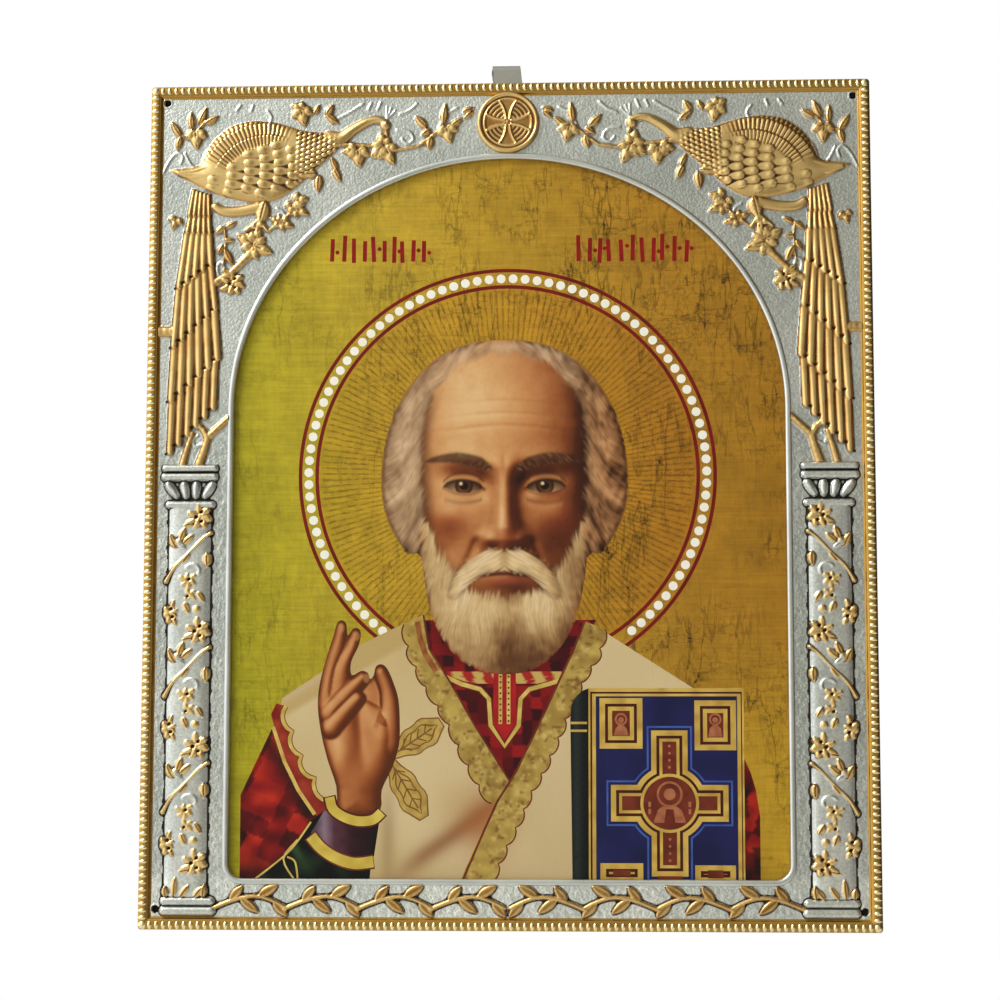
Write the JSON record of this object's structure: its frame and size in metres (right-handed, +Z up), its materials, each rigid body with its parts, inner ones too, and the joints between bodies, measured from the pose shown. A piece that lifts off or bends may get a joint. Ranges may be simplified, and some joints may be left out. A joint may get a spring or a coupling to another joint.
{
  "type": "icon panel",
  "caption": "Hanging icon panel: a printed portrait under an embossed silver and gilt metal cover with an arched window, peacocks, vine columns and a strip hanger.",
  "frame": {"origin": "inner top face of the hanger's eye, where the panel hangs", "axes": "+Z up the panel, +X to the right as the front is seen, the front faces -Y"},
  "size_m": [0.2, 0.0149, 0.2404],
  "materials": {
    "board": "bare fibreboard, matte brown",
    "print": "glossy printed card in gold, red, blue and cream",
    "silver_gilt": "embossed foil, pebbled silver ground with gilded relief and rim",
    "tinned_strip": "thin tinned strip, satin",
    "tack": "satin round head"
  },
  "bodies": {
    "root": {"board": "board", "picture": "print", "cover": "silver_gilt", "hanger": "tinned_strip", "hanger_tack": "tack"}
  },
  "joints": []
}
